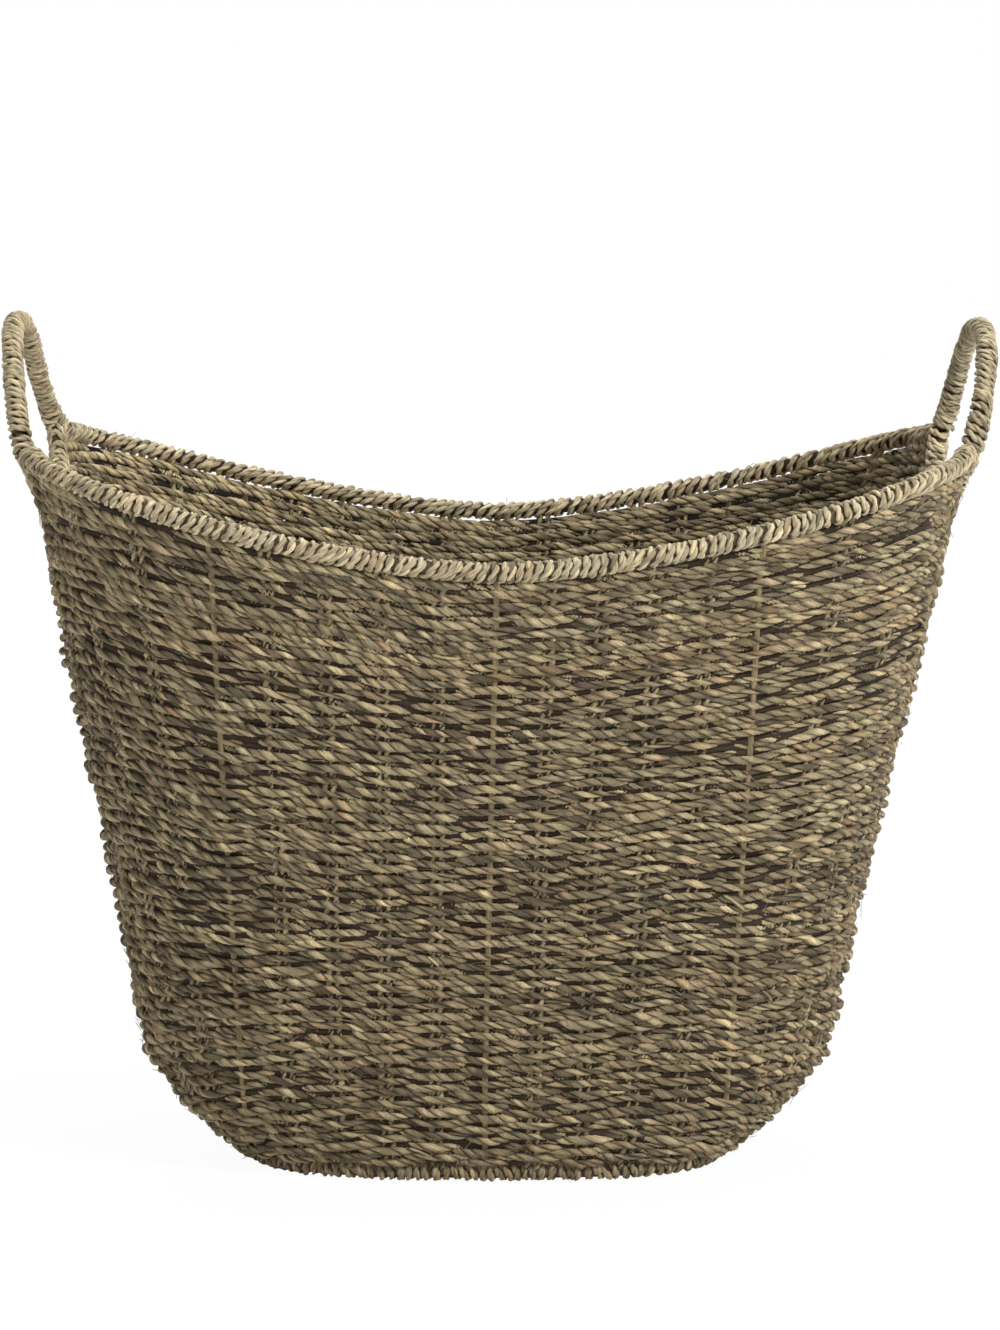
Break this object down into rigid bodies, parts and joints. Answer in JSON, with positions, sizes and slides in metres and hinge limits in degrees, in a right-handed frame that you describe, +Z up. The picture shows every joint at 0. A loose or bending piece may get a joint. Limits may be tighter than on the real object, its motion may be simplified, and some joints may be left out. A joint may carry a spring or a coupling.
{
  "type": "magazine basket",
  "caption": "Oval flared basket of woven seagrass cord over a wire frame, with a saddle-shaped bound rim and fixed loop handles at both ends.",
  "frame": {"origin": "middle of the bounding box, on the surface that the basket stands on", "axes": "+Z up, +X along the basket to its right-hand handle, -Y out of the long front wall"},
  "size_m": [0.4849, 0.3078, 0.4213],
  "materials": {
    "seagrass": "two-ply twisted seagrass cord, woven, matt, olive brown",
    "stake_fibre": "twisted seagrass stake, matt, darker brown",
    "pale_seagrass": "seagrass strands wrapped tightly, matt, pale straw",
    "wire": "mild steel wire with a tan paint coat, satin"
  },
  "bodies": {
    "root": {"woven_wall": "seagrass", "woven_base": "seagrass", "rim_binding": "pale_seagrass", "base_binding": "pale_seagrass", "handle_binding_left": "pale_seagrass", "handle_binding_right": "pale_seagrass", "rim_hoop": "wire", "base_hoop": "wire", "handle_core_left": "wire", "handle_core_right": "wire", "stake_01": "stake_fibre", "stake_02": "stake_fibre", "stake_03": "stake_fibre", "stake_04": "stake_fibre", "stake_05": "stake_fibre", "stake_06": "stake_fibre", "stake_07": "stake_fibre", "stake_08": "stake_fibre", "stake_09": "stake_fibre", "stake_10": "stake_fibre", "stake_11": "stake_fibre", "stake_12": "stake_fibre", "stake_13": "stake_fibre", "stake_14": "stake_fibre", "stake_15": "stake_fibre", "stake_16": "stake_fibre", "stake_17": "stake_fibre", "stake_18": "stake_fibre", "stake_19": "stake_fibre", "stake_20": "stake_fibre", "stake_21": "stake_fibre", "stake_22": "stake_fibre", "stake_23": "stake_fibre", "stake_24": "stake_fibre", "stake_25": "stake_fibre", "stake_26": "stake_fibre", "stake_27": "stake_fibre", "stake_28": "stake_fibre", "stake_29": "stake_fibre", "stake_30": "stake_fibre", "stake_31": "stake_fibre", "stake_32": "stake_fibre", "frame_upright_1": "wire", "frame_upright_2": "wire", "frame_upright_3": "wire", "frame_upright_4": "wire", "frame_upright_5": "wire", "frame_upright_6": "wire", "frame_upright_7": "wire", "frame_upright_8": "wire", "base_cross_wire_1": "wire", "base_cross_wire_2": "wire", "base_cross_wire_3": "wire"}
  },
  "joints": []
}
